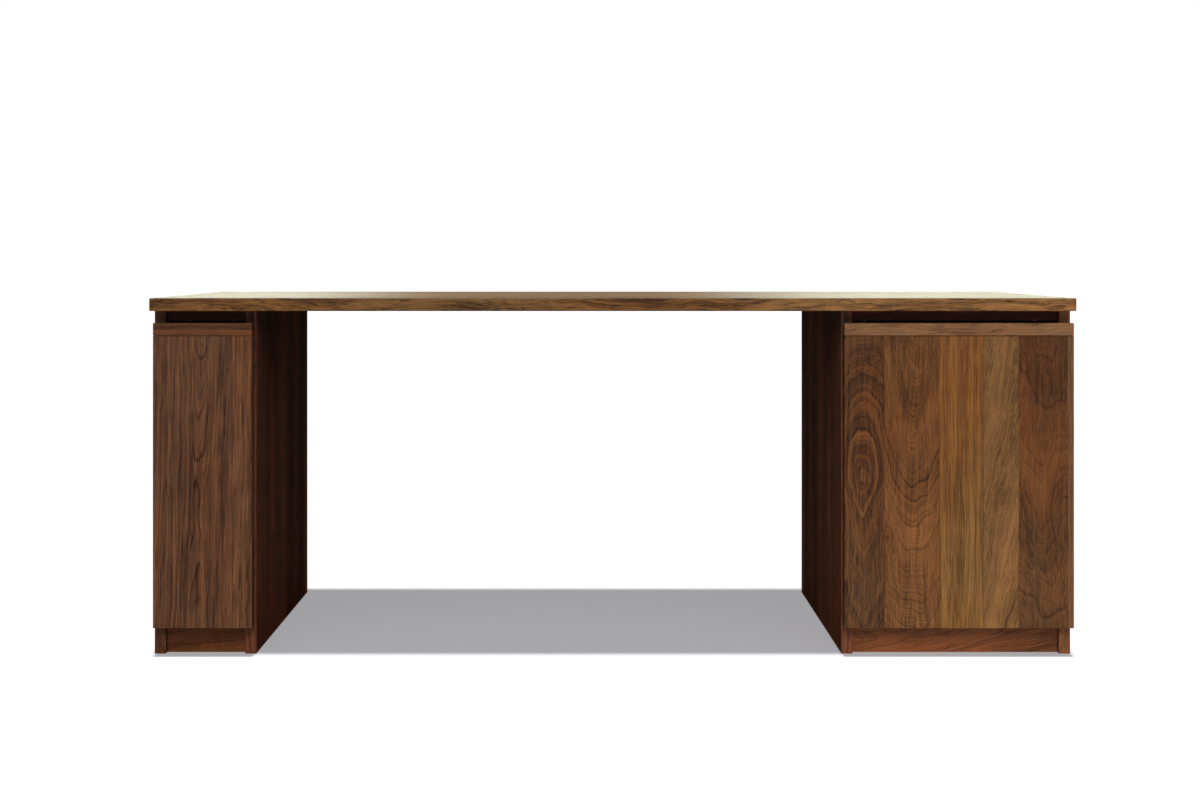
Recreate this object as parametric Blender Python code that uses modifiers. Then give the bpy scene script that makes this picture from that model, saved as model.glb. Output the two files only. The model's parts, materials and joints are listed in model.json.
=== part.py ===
"""Walnut desk on two cabinets: a slim pull-out on the left and a hinged door on the right.

Units are metres, +Z is up and the front faces -Y. The origin lies on the ground, under the
middle of the desktop. Pieces that touch keep seat_gap between their faces.
"""

import math

import bmesh
import bpy
from mathutils import Matrix, Vector

MM = 0.001

# Desktop
desk_width = 1800 * MM
desk_depth = 600 * MM
desk_height = 700 * MM
top_thickness = 25 * MM
top_arris = 1.5 * MM

# Fits that every joint shares
seat_gap = 0.3 * MM
cutter_overrun = 10 * MM

# Steel channels let into the underside of the desktop, which keep it flat
batten_width = 30 * MM
batten_height = 12 * MM
batten_wall = 2.3 * MM
batten_length = 460 * MM
batten_recess = 0.5 * MM
batten_hole_radius = 4 * MM
batten_hole_inset = 40 * MM
batten_holes = 3

# Cabinet boards
left_cabinet_width = 200 * MM
right_cabinet_width = 450 * MM
side_thickness = 22 * MM
floor_height = 60 * MM
floor_thickness = 20 * MM
housing_depth = 7 * MM
housing_stop = 12 * MM
rail_recess = 10 * MM
stretcher_width = 80 * MM
stretcher_thickness = 20 * MM
tenon_length = 14 * MM
tenon_shoulder = 12 * MM
screw_slot_length = 14 * MM
screw_slot_width = 5.5 * MM
screw_slot_distance = 32 * MM
plinth_thickness = 20 * MM
plinth_ground_gap = 1 * MM
back_thickness = 9 * MM
back_inset = 12 * MM
back_groove = 6 * MM

# Adjustable shelf and its pins
shelf_thickness = 18 * MM
shelf_front_inset = 15 * MM
shelf_back_gap = 3 * MM
pin_radius = 2.5 * MM
pin_hole_depth = 10 * MM
pin_stub = 8 * MM
pin_collar_radius = 4 * MM
pin_collar = 1 * MM
pin_pitch = 32 * MM
pin_first_height = 110 * MM
pin_last_drop = 110 * MM
pin_edge_distance = 45 * MM
shelf_row_share = 0.55

# Fronts: a panel of upright boards with a cross-grain grip along its top
front_setback = 14 * MM
front_thickness = 22 * MM
front_arris = 0.8 * MM
finger_gap = 24 * MM
kick_height = 56 * MM
grip_height = 24 * MM
cove_radius = 11 * MM
cove_height = 16 * MM
tongue_thickness = 7 * MM
tongue_depth = 7 * MM
tongue_stop = 14 * MM
left_front_reveal = 3.5 * MM
door_reveal_hinge_side = 0.5 * MM
door_reveal_grip_side = 2 * MM

# Butt hinges of the door
hinge_height = 64 * MM
hinge_inset = 95 * MM
leaf_width = 16 * MM
leaf_thickness = 1.5 * MM
leaf_gap = 0.4 * MM
knuckle_radius = 3 * MM
knuckle_gap = 0.4 * MM
knuckle_count = 5
hinge_pin_radius = 1.4 * MM
hinge_pin_play = 0.2 * MM
hinge_pin_head_radius = 2.4 * MM
hinge_pin_head = 1.2 * MM

# Magnetic catch, its strike plate and the bumpers
catch_width = 14 * MM
catch_depth = 13 * MM
catch_length = 46 * MM
catch_drop = 45 * MM
catch_arris = 1 * MM
pole_thickness = 1.5 * MM
pole_length = 30 * MM
pole_spacing = 6 * MM
strike_thickness = 1.5 * MM
strike_length = 40 * MM
bumper_radius = 4.5 * MM
bumper_inset = 28 * MM
bumper_dome_share = 0.45

# Pull-out box
box_lift = 12 * MM
box_depth = 512 * MM
box_end_thickness = 15 * MM
box_side_thickness = 12 * MM
box_side_height = 90 * MM
box_housing = 5 * MM
box_front_drop = 26 * MM
box_back_rise = 60 * MM
box_arris = 1 * MM
tray_thickness = 6 * MM
tray_lift = 8 * MM
tray_groove = 5 * MM
upper_tray_rise = 240 * MM

# Telescopic runners
runner_length = 480 * MM
runner_setback = 4 * MM
runner_height = 45 * MM
runner_thickness = 12.4 * MM
runner_wall = 1.2 * MM
runner_nest_gap = 0.4 * MM
runner_web_gap = 0.8 * MM
runner_bend = 1.4 * MM
raceway_depth = 0.7 * MM
raceway_width = 3.6 * MM
runner_hole_radius = 2.3 * MM
runner_hole_inset = 35 * MM
runner_holes = 3

# Angle past which an edge of a round piece stays crisp
crease_angle = math.radians(40)

# Points of a turned piece that lie closer than this on its axis are one
merge_distance = 0.01 * MM

# Facets round a circle
round_sides = 24
small_round_sides = 12
hole_sides = 8

# Planes that several pieces share
front_edge = -desk_depth / 2
back_edge = desk_depth / 2
under_top = desk_height - top_thickness
front_gap = 2 * leaf_thickness + leaf_gap + 2 * seat_gap
front_face = front_edge + front_setback
front_rear = front_face + front_thickness
carcass_front = front_rear + front_gap
back_rear = back_edge - back_inset
back_front = back_rear - back_thickness
floor_top = floor_height + floor_thickness
stretcher_top = under_top - seat_gap
stretcher_bottom = stretcher_top - stretcher_thickness
front_top = under_top - finger_gap
grip_bottom = front_top - grip_height
left_outer_face = -desk_width / 2
left_knee_face = left_outer_face + left_cabinet_width
right_outer_face = desk_width / 2
right_knee_face = right_outer_face - right_cabinet_width

# Scene


def clear_scene():
    for old in list(bpy.data.objects):
        bpy.data.objects.remove(old, do_unlink=True)


def new_collection(name):
    made = bpy.data.collections.new(name)
    bpy.context.scene.collection.children.link(made)
    return made


clear_scene()
DESK = new_collection("desk_with_cabinets")
CUTTERS = new_collection("cutters")


def finish(name, colour, roughness, metallic=0.0):
    """A Principled material in the piece's own colour."""
    made = bpy.data.materials.new(name)
    made.use_nodes = True
    shader = made.node_tree.nodes["Principled BSDF"]
    shader.inputs["Base Color"].default_value = (*colour, 1.0)
    shader.inputs["Roughness"].default_value = roughness
    shader.inputs["Metallic"].default_value = metallic
    return made


WALNUT = finish("walnut", (0.13, 0.055, 0.025), 0.45)
WALNUT_GRIP = finish("walnut_grip", (0.17, 0.085, 0.045), 0.45)
PALE_WOOD = finish("pale_wood", (0.55, 0.40, 0.24), 0.55)
STEEL = finish("zinc_plated_steel", (0.55, 0.56, 0.58), 0.35, 1.0)
BRASS = finish("brass", (0.55, 0.38, 0.14), 0.3, 1.0)
BLACK_PLASTIC = finish("black_plastic", (0.02, 0.02, 0.02), 0.5)
CLEAR_RUBBER = finish("clear_rubber", (0.62, 0.62, 0.58), 0.4)

# Shapes


def place(name, data, location, material, rotation=(0.0, 0.0, 0.0)):
    """Puts a mesh or curve in the desk's collection as a named piece."""
    piece = bpy.data.objects.new(name, data)
    piece.location = location
    piece.rotation_euler = rotation
    data.materials.append(material)
    DESK.objects.link(piece)
    return piece


def hide_as_cutter(helper):
    DESK.objects.unlink(helper)
    CUTTERS.objects.link(helper)
    helper.hide_render = True
    helper.display_type = "WIRE"
    return helper


def soften(piece, radius):
    """Takes the sharp arrises off a board."""
    bevel = piece.modifiers.new("arris", "BEVEL")
    bevel.width = radius
    bevel.segments = 2
    bevel.limit_method = "ANGLE"


def board(name, low, high, material, arris=0.0):
    """A rectangular board between two corners."""
    low, high = Vector(low), Vector(high)
    mesh = bpy.data.meshes.new(name)
    shape = bmesh.new()
    bmesh.ops.create_cube(shape, size=1.0)
    bmesh.ops.scale(shape, vec=high - low, verts=shape.verts)
    shape.to_mesh(mesh)
    shape.free()
    piece = place(name, mesh, (low + high) / 2, material)
    if arris:
        soften(piece, arris)
    return piece


def combine(piece, helper, operation):
    """Cuts the helper out of the piece, or joins it on."""
    step = piece.modifiers.new(helper.name, "BOOLEAN")
    step.operation = operation
    step.solver = "EXACT"
    step.object = hide_as_cutter(helper)


def cut_box(piece, low, high):
    """Cuts a pocket with seat_gap to spare all round the box between two corners."""
    spare = Vector((seat_gap, seat_gap, seat_gap))
    pocket = board(piece.name + "_pocket", Vector(low) - spare, Vector(high) + spare, WALNUT)
    combine(piece, pocket, "DIFFERENCE")


def shade_round(mesh):
    """Smooth shading with crisp arrises."""
    mesh.shade_smooth()
    mesh.set_sharp_from_angle(angle=crease_angle)


def spread(low, high, count):
    """Evenly spaced places from low to high."""
    return [low + (high - low) * n / (count - 1) for n in range(count)]


def rods(name, centres, radius, length, axis, sides):
    """Round rods of one size, as one helper, centred on points and lying along X, Y or Z."""
    turn = {"X": Matrix.Rotation(math.pi / 2, 4, "Y"), "Y": Matrix.Rotation(math.pi / 2, 4, "X")}
    mesh = bpy.data.meshes.new(name)
    shape = bmesh.new()
    for centre in centres:
        bmesh.ops.create_cone(
            shape, cap_ends=True, segments=sides, radius1=radius, radius2=radius, depth=length,
            matrix=Matrix.Translation(centre) @ turn.get(axis, Matrix.Identity(4)),
        )
    shape.to_mesh(mesh)
    shape.free()
    shade_round(mesh)
    return place(name, mesh, (0.0, 0.0, 0.0), STEEL)


def outline_board(name, loops, thickness, location, material, rotation=(0.0, 0.0, 0.0)):
    """A flat board cut to an outline, the later loops being holes through it."""
    curve = bpy.data.curves.new(name, "CURVE")
    curve.dimensions = "2D"
    curve.fill_mode = "BOTH"
    curve.extrude = thickness / 2
    for loop in loops:
        spline = curve.splines.new("POLY")
        spline.points.add(len(loop) - 1)
        for point, (across, along) in zip(spline.points, loop):
            point.co = (across, along, 0.0, 1.0)
        spline.use_cyclic_u = True
    return place(name, curve, location, material, rotation)


def tenoned_outline(half_length, half_width, shoulder, tenon):
    """A board with a tenon on each end, set in from both of its edges by the shoulder."""
    tip, cheek = half_length + tenon, half_width - shoulder
    right_end = [(tip, -cheek), (tip, cheek), (half_length, cheek), (half_length, half_width)]
    left_end = [(-x, y) for x, y in reversed(right_end)]
    lower = [(-half_length, -half_width), (-half_length, -cheek), (half_length, -cheek)]
    return right_end + left_end[:3] + [(-tip, -cheek)] + [lower[1], lower[0]] + [
        (half_length, -half_width), lower[2],
    ]


def slot_outline(centre, length, width, sides):
    """A slot with round ends, running along Y so that the desktop can move across its grain."""
    half = (length - width) / 2
    points = []
    for end, start in ((half, 0.0), (-half, math.pi)):
        for step in range(sides + 1):
            angle = start + math.pi * step / sides
            points.append((
                centre[0] + width / 2 * math.cos(angle),
                centre[1] + end + width / 2 * math.sin(angle),
            ))
    return points


def turned(name, profile, sides, location, material, rotation=(0.0, 0.0, 0.0)):
    """A turned piece about local Z. The profile gives (radius, height) from the top down."""
    mesh = bpy.data.meshes.new(name)
    points = [(radius, 0.0, height) for radius, height in profile]
    mesh.from_pydata(points, [(i, i + 1) for i in range(len(points) - 1)], [])
    piece = place(name, mesh, location, material, rotation)
    screw = piece.modifiers.new("turning", "SCREW")
    screw.steps = screw.render_steps = sides
    screw.use_merge_vertices = True
    screw.merge_threshold = merge_distance
    finished = bpy.data.meshes.new_from_object(
        piece.evaluated_get(bpy.context.evaluated_depsgraph_get())
    )
    shade_round(finished)
    piece.modifiers.clear()
    piece.data = finished
    return piece


def folded_strip(name, profile, wall, length, location, material):
    """A strip of sheet metal folded to a profile of (x, z) points and lying along +Y."""
    mesh = bpy.data.meshes.new(name)
    shape = bmesh.new()
    corners = [shape.verts.new((x, 0.0, z)) for x, z in profile]
    folds = [shape.edges.new(pair) for pair in zip(corners, corners[1:])]
    swept = bmesh.ops.extrude_edge_only(shape, edges=folds)["geom"]
    moved = [v for v in swept if isinstance(v, bmesh.types.BMVert)]
    bmesh.ops.translate(shape, vec=(0.0, length, 0.0), verts=moved)
    shape.to_mesh(mesh)
    shape.free()
    piece = place(name, mesh, location, material)
    sheet = piece.modifiers.new("sheet", "SOLIDIFY")
    sheet.thickness = wall
    sheet.offset = 0.0
    sheet.use_even_offset = True
    return piece


def carry(pieces, name, axis_point):
    """Parents moving pieces to an empty on their joint's axis."""
    empty = bpy.data.objects.new(name, None)
    empty.location = axis_point
    DESK.objects.link(empty)
    for piece in pieces:
        piece.parent = empty
        piece.matrix_parent_inverse = Matrix.Translation(-Vector(axis_point))


# Desktop and its battens


def build_desktop():
    """The glued-up top, routed for the webs and the flanges of its two steel battens."""
    top = board(
        "desktop",
        (left_outer_face, front_edge, under_top),
        (right_outer_face, back_edge, desk_height),
        WALNUT,
        top_arris,
    )
    knee_width = right_knee_face - left_knee_face
    web_depth = batten_wall / 2
    half = (batten_width - batten_wall) / 2
    bottom = under_top + batten_recess
    for number, name in ((1, "batten_left"), (2, "batten_right")):
        middle = left_knee_face + knee_width * (2 * number - 1) / 4
        near, far = -batten_length / 2, batten_length / 2
        cut_box(
            top,
            (middle - batten_width / 2, near, under_top - cutter_overrun),
            (middle + batten_width / 2, far, bottom + batten_wall),
        )
        for flange in (middle - half - web_depth, middle + half - web_depth):
            cut_box(top, (flange, near, bottom), (flange + batten_wall, far, bottom + batten_height))
        channel = folded_strip(
            name,
            [
                (-half, batten_height),
                (-half, web_depth),
                (half, web_depth),
                (half, batten_height),
            ],
            batten_wall,
            batten_length,
            (middle, near, bottom),
            STEEL,
        )
        places = spread(near + batten_hole_inset, far - batten_hole_inset, batten_holes)
        centres = [(middle, y, bottom) for y in places]
        holes = rods(name + "_holes", centres, batten_hole_radius, 2 * batten_height, "Z", round_sides)
        combine(channel, holes, "DIFFERENCE")


# Cabinets


def housed_floor(name, inner_low, inner_high):
    """The cabinet's floor board, housed in the sides and notched so that no joint shows in front."""
    length = back_front - seat_gap - carcass_front
    middle_x = (inner_low + inner_high) / 2
    middle_y = carcass_front + length / 2
    narrow = (inner_high - inner_low) / 2 - seat_gap
    wide = (inner_high - inner_low) / 2 + housing_depth - seat_gap
    notch = -length / 2 + housing_stop
    half_outline = [(narrow, -length / 2), (narrow, notch), (wide, notch), (wide, length / 2)]
    outline = half_outline + [(-x, y) for x, y in reversed(half_outline)]
    location = (middle_x, middle_y, floor_height + floor_thickness / 2)
    outline_board(name, [outline], floor_thickness, location, WALNUT)


def build_stretcher(name, inner_low, inner_high, low_y):
    """A flat rail under the desktop, slotted for the screws that hold the desktop down."""
    half = (inner_high - inner_low) / 2 - seat_gap
    outline = tenoned_outline(half, stretcher_width / 2, tenon_shoulder, tenon_length)
    slots = [
        slot_outline((across, 0.0), screw_slot_length, screw_slot_width, hole_sides)
        for across in (screw_slot_distance - half, half - screw_slot_distance)
    ]
    location = (
        (inner_low + inner_high) / 2,
        low_y + stretcher_width / 2,
        stretcher_top - stretcher_thickness / 2,
    )
    outline_board(name, [outline, *slots], stretcher_thickness, location, WALNUT)


def build_plinth(name, inner_low, inner_high, low_y):
    """An upright board under the cabinet floor, a hair off the ground so that the sides carry."""
    half = (inner_high - inner_low) / 2 - seat_gap
    height = floor_height - seat_gap - plinth_ground_gap
    outline = tenoned_outline(half, height / 2, tenon_shoulder, tenon_length)
    location = (
        (inner_low + inner_high) / 2,
        low_y + plinth_thickness / 2,
        plinth_ground_gap + height / 2,
    )
    upright = (math.pi / 2, 0.0, 0.0)
    outline_board(name, [outline], plinth_thickness, location, WALNUT, upright)


def build_side(name, low_x, high_x, inner_face, inwards, rails):
    """One side of a cabinet, with the housing, mortises and groove for all that it holds.

    inwards is +1 where the cabinet lies at higher x than this side, and -1 where lower.
    """
    side = board(
        name, (low_x, carcass_front, 0.0), (high_x, back_edge, stretcher_top), WALNUT, front_arris
    )

    def let_in(depth, low_y, high_y, low_z, high_z):
        bottom = inner_face - inwards * (depth - seat_gap)
        mouth = inner_face + inwards * cutter_overrun
        cut_box(
            side,
            (min(bottom, mouth), low_y, low_z),
            (max(bottom, mouth), high_y, high_z),
        )

    let_in(
        housing_depth,
        carcass_front + housing_stop,
        back_front - seat_gap,
        floor_height,
        floor_top,
    )
    let_in(back_groove, back_front, back_rear, floor_height, stretcher_top + cutter_overrun)
    for low_y, high_y, low_z, high_z in rails:
        let_in(tenon_length + seat_gap, low_y, high_y, low_z, high_z)
    return side


def build_cabinet(prefix, low_name, high_name, low_x, high_x):
    """The fixed boards of one cabinet. Returns its two sides."""
    inner_low, inner_high = low_x + side_thickness, high_x - side_thickness
    front_rail = carcass_front + rail_recess
    rear_stretcher = back_front - seat_gap - stretcher_width
    rear_plinth = back_rear - plinth_thickness
    housed_floor(prefix + "_floor_board", inner_low, inner_high)
    build_stretcher(prefix + "_front_stretcher", inner_low, inner_high, front_rail)
    build_stretcher(prefix + "_rear_stretcher", inner_low, inner_high, rear_stretcher)
    build_plinth(prefix + "_front_plinth", inner_low, inner_high, front_rail)
    build_plinth(prefix + "_rear_plinth", inner_low, inner_high, rear_plinth)
    reach = back_groove - seat_gap
    board(
        prefix + "_back_panel",
        (inner_low - reach, back_front, floor_height),
        (inner_high + reach, back_rear, stretcher_top),
        WALNUT,
    )
    rails = [
        (y + tenon_shoulder, y + stretcher_width - tenon_shoulder, stretcher_bottom, stretcher_top)
        for y in (front_rail, rear_stretcher)
    ] + [
        (
            y,
            y + plinth_thickness,
            plinth_ground_gap + tenon_shoulder,
            floor_height - seat_gap - tenon_shoulder,
        )
        for y in (front_rail, rear_plinth)
    ]
    low_side = build_side(low_name, low_x, inner_low, inner_low, 1, rails)
    high_side = build_side(high_name, inner_high, high_x, inner_high, -1, rails)
    return low_side, high_side


# Adjustable shelf


def pin_profile():
    """The pin in its hole, its collar against the side, and the stub under the shelf."""
    return [
        (0.0, pin_stub + pin_collar),
        (pin_radius, pin_stub + pin_collar),
        (pin_radius, pin_collar),
        (pin_collar_radius, pin_collar),
        (pin_collar_radius, seat_gap),
        (pin_radius, seat_gap),
        (pin_radius, seat_gap - pin_hole_depth),
        (0.0, seat_gap - pin_hole_depth),
    ]


def build_shelf(low_side, high_side):
    """Rows of pin holes in both sides of the door cabinet, and one shelf on four pins."""
    inner_low, inner_high = right_knee_face + side_thickness, right_outer_face - side_thickness
    lowest, highest = floor_top + pin_first_height, stretcher_bottom - pin_last_drop
    rows = max(1, int((highest - lowest) / pin_pitch) + 1)
    heights = [lowest + row * pin_pitch for row in range(rows)]
    columns = (carcass_front + pin_edge_distance, back_front - pin_edge_distance)
    hole_radius = (pin_radius + seat_gap) / math.cos(math.pi / hole_sides)
    for side, face in ((low_side, inner_low), (high_side, inner_high)):
        centres = [(face, y, z) for y in columns for z in heights]
        name = side.name + "_pin_holes"
        holes = rods(name, centres, hole_radius, 2 * pin_hole_depth, "X", hole_sides)
        combine(side, holes, "DIFFERENCE")
    height = heights[int((rows - 1) * shelf_row_share)]
    places = [(face, inwards, y) for face, inwards in ((inner_low, 1), (inner_high, -1)) for y in columns]
    for number, (face, inwards, y) in enumerate(places, 1):
        turned(
            f"shelf_pin_{number}", pin_profile(), small_round_sides, (face, y, height), STEEL,
            (0.0, inwards * math.pi / 2, 0.0),
        )
    underside = height + pin_radius + seat_gap
    end_gap = pin_collar + seat_gap
    board(
        "right_shelf",
        (inner_low + end_gap, carcass_front + shelf_front_inset, underside),
        (inner_high - end_gap, back_front - shelf_back_gap, underside + shelf_thickness),
        WALNUT,
        front_arris,
    )


# Fronts


def build_front(prefix, low_x, high_x):
    """A front panel with its grip. Returns both.

    The grip is tongued into the panel's top edge, with a round cove along its back for fingers.
    """
    panel = board(
        prefix + "_panel",
        (low_x, front_face, kick_height),
        (high_x, front_rear, grip_bottom - seat_gap),
        WALNUT,
        front_arris,
    )
    grip = board(
        prefix + "_grip",
        (low_x, front_face, grip_bottom),
        (high_x, front_rear, front_top),
        WALNUT_GRIP,
        front_arris,
    )
    middle_y = (front_face + front_rear) / 2
    tongue_low = (low_x + tongue_stop, middle_y - tongue_thickness / 2, grip_bottom - tongue_depth)
    tongue_high = (high_x - tongue_stop, middle_y + tongue_thickness / 2, grip_bottom)
    cut_box(panel, tongue_low, tongue_high)
    root_high = (tongue_high[0], tongue_high[1], grip_bottom + tongue_depth / 2)
    combine(grip, board(prefix + "_tongue", tongue_low, root_high, WALNUT_GRIP), "UNION")
    cove_centre = ((low_x + high_x) / 2, front_rear, grip_bottom + cove_height)
    cove_length = high_x - low_x + 2 * cutter_overrun
    cove = rods(prefix + "_cove", [cove_centre], cove_radius, cove_length, "X", round_sides)
    combine(grip, cove, "DIFFERENCE")
    return [panel, grip]


def build_bumper(name, x, z):
    """A soft dot behind a front, which meets the side's front edge."""
    height = front_gap - 2 * seat_gap
    rim = height * (1 - bumper_dome_share)
    profile = [
        (0.0, height),
        (bumper_radius / 2, height),
        (bumper_radius, rim),
        (bumper_radius, 0.0),
        (0.0, 0.0),
    ]
    location = (x, front_rear + seat_gap, z)
    backwards = (-math.pi / 2, 0.0, 0.0)
    return turned(name, profile, small_round_sides, location, CLEAR_RUBBER, backwards)


# Hinged door


def knuckle_spans(own):
    """(bottom, top) of each knuckle of one leaf, about the hinge's middle. own is 0 or 1."""
    length = (hinge_height - (knuckle_count - 1) * knuckle_gap) / knuckle_count
    bottoms = [
        -hinge_height / 2 + n * (length + knuckle_gap) for n in range(knuckle_count)
    ]
    return [(z, z + length) for z in bottoms[own::2]]


def build_leaf(name, axis_point, facing, own):
    """One leaf of a butt hinge: a plate in the gap behind the door, rolled into its knuckles.

    facing is +1 for the leaf on the cabinet side, which lies behind the pin, and -1 on the door.
    """
    axis = Vector(axis_point)
    near = leaf_gap / 2
    far = near + leaf_thickness
    low_y, high_y = sorted((axis.y + facing * near, axis.y + facing * far))
    edge = axis.x - knuckle_radius - knuckle_gap
    bottom, top = axis.z - hinge_height / 2, axis.z + hinge_height / 2
    leaf = board(name, (axis.x - knuckle_radius - leaf_width, low_y, bottom), (edge, high_y, top), BRASS)
    for number, (low_z, high_z) in enumerate(knuckle_spans(own), 1):
        strap = board(
            f"{name}_strap_{number}",
            (edge - leaf_thickness, low_y, axis.z + low_z),
            (axis.x - knuckle_radius / 2, high_y, axis.z + high_z),
            BRASS,
        )
        combine(leaf, strap, "UNION")
        middle = (axis.x, axis.y, axis.z + (low_z + high_z) / 2)
        knuckle = rods(
            f"{name}_knuckle_{number}", [middle], knuckle_radius, high_z - low_z, "Z", round_sides
        )
        combine(leaf, knuckle, "UNION")
    bore_radius = (hinge_pin_radius + hinge_pin_play) / math.cos(math.pi / round_sides)
    bore_length = hinge_height + 2 * cutter_overrun
    bore = rods(f"{name}_bore", [axis], bore_radius, bore_length, "Z", round_sides)
    combine(leaf, bore, "DIFFERENCE")
    return leaf


def build_hinge_pin(name, axis_point):
    """The loose pin, headed at both ends."""
    half = hinge_height / 2 + seat_gap
    upper = [
        (0.0, half + hinge_pin_head),
        (hinge_pin_head_radius / 2, half + hinge_pin_head),
        (hinge_pin_head_radius, half + hinge_pin_head / 2),
        (hinge_pin_head_radius, half),
        (hinge_pin_radius, half),
    ]
    profile = upper + [(radius, -height) for radius, height in reversed(upper)]
    turned(name, profile, round_sides, axis_point, BRASS)


def build_catch(inner_face):
    """The magnetic catch on the knee-side board. Returns the strike plate that meets it."""
    low_x = inner_face + seat_gap
    middle_x = low_x + catch_width / 2
    middle_z = grip_bottom - catch_drop
    strike_rear = front_rear + seat_gap + strike_thickness
    housing_front = carcass_front + seat_gap
    catch = board(
        "magnetic_catch",
        (low_x, housing_front, middle_z - catch_length / 2),
        (low_x + catch_width, housing_front + catch_depth, middle_z + catch_length / 2),
        BLACK_PLASTIC,
        catch_arris,
    )
    for side in (-1, 1):
        pole_x = middle_x + side * pole_spacing / 2
        pole = board(
            f"catch_pole_{'left' if side < 0 else 'right'}",
            (pole_x - pole_thickness / 2, strike_rear + seat_gap, middle_z - pole_length / 2),
            (pole_x + pole_thickness / 2, housing_front + catch_depth / 2, middle_z + pole_length / 2),
            STEEL,
        )
        combine(catch, pole, "UNION")
    return board(
        "strike_plate",
        (low_x, front_rear + seat_gap, middle_z - strike_length / 2),
        (low_x + catch_width, strike_rear, middle_z + strike_length / 2),
        STEEL,
    )


def build_door(outer_side):
    """The right door on its two butt hinges, held shut by the magnetic catch.

    The hinges turn in the plane of the cabinet's outer face. Their barrels are half sunk in
    round notches across the corners of the door and of the side.
    """
    moving = build_front(
        "right_door",
        right_knee_face + door_reveal_grip_side,
        right_outer_face - door_reveal_hinge_side,
    )
    axis_x = right_outer_face
    axis_y = front_rear + front_gap / 2
    heights = {"bottom": kick_height + hinge_inset, "top": front_top - hinge_inset}
    notch_radius = (knuckle_radius + knuckle_gap) / math.cos(math.pi / round_sides)
    notch_length = hinge_height + 2 * (hinge_pin_head + seat_gap + knuckle_gap)
    centres = [(axis_x, axis_y, height) for height in heights.values()]
    for notched in (moving[0], outer_side):
        name = notched.name + "_hinge_notches"
        notches = rods(name, centres, notch_radius, notch_length, "Z", round_sides)
        combine(notched, notches, "DIFFERENCE")
    for place_name, height in heights.items():
        axis_point = (axis_x, axis_y, height)
        build_leaf(f"hinge_{place_name}_cabinet_leaf", axis_point, 1, 0)
        moving.append(build_leaf(f"hinge_{place_name}_door_leaf", axis_point, -1, 1))
        build_hinge_pin(f"hinge_{place_name}_pin", axis_point)
    moving.append(build_catch(right_knee_face + side_thickness))
    bumper_x = right_knee_face + side_thickness / 2
    moving.append(build_bumper("door_bumper_bottom", bumper_x, kick_height + bumper_inset))
    moving.append(build_bumper("door_bumper_top", bumper_x, grip_bottom - bumper_inset))
    carry(moving, "right_door_axis", (axis_x, axis_y, (kick_height + front_top) / 2))


# Pull-out on the left


def fold(corner, before, after, steps=2):
    """Points of a small bend that rounds a fold's corner between its two neighbours."""
    corner = Vector(corner)
    start = corner + (Vector(before) - corner).normalized() * runner_bend
    end = corner + (Vector(after) - corner).normalized() * runner_bend
    bend = []
    for step in range(steps + 1):
        share = step / steps
        bend.append(tuple(
            start * (1 - share) ** 2 + corner * 2 * share * (1 - share) + end * share ** 2
        ))
    return bend


def runner_profile(level, inwards):
    """Centre line of a runner member as (x, z), with x from the cabinet side towards the box.

    Level 0 is screwed to the cabinet, 2 to the box, and 1 runs between them. The flanges nest
    one inside the next, and a raceway pressed into each keeps them together.
    """
    half = runner_height / 2 - runner_wall / 2 - level * (runner_wall + runner_nest_gap)
    first_web = runner_wall / 2
    last_web = runner_thickness - runner_wall / 2
    middle_web = first_web + runner_wall + runner_web_gap
    flange_inner = middle_web + runner_wall / 2 + runner_web_gap
    flange_outer = last_web - runner_wall / 2 - runner_web_gap
    web = (first_web, middle_web, last_web)[level]
    tip = flange_inner if level == 2 else flange_outer
    race = (flange_inner + flange_outer) / 2
    side = 1 if tip > web else -1
    flange = [
        (race - side * raceway_width / 2, half),
        (race - side * raceway_width / 4, half - raceway_depth),
        (race + side * raceway_width / 4, half - raceway_depth),
        (race + side * raceway_width / 2, half),
        (tip, half),
    ]
    upper = fold((web, half), (web, 0.0), (tip, half)) + flange
    lower = [(x, -z) for x, z in reversed(upper)]
    return [(inwards * x, z) for x, z in lower + upper]


def build_runner(prefix, face, inwards, height):
    """One telescopic runner in its three members, closed up. Returns the middle and box ones."""
    members = []
    for level, name in enumerate(("cabinet", "middle", "box")):
        offset = face + inwards * seat_gap
        location = (offset, carcass_front + runner_setback, height)
        member = folded_strip(
            f"{prefix}_{name}_member",
            runner_profile(level, inwards),
            runner_wall,
            runner_length,
            location,
            STEEL,
        )
        members.append(member)
    near = carcass_front + runner_setback + runner_hole_inset
    places = spread(near, near + runner_length - 2 * runner_hole_inset, runner_holes)
    web = runner_wall / 2
    for member, depth in ((members[0], web), (members[2], runner_thickness - web)):
        centres = [(face + inwards * (seat_gap + depth), y, height) for y in places]
        holes = rods(
            member.name + "_holes", centres, runner_hole_radius, 2 * runner_wall, "X", hole_sides
        )
        combine(member, holes, "DIFFERENCE")
    return members[1], members[2]


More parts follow.
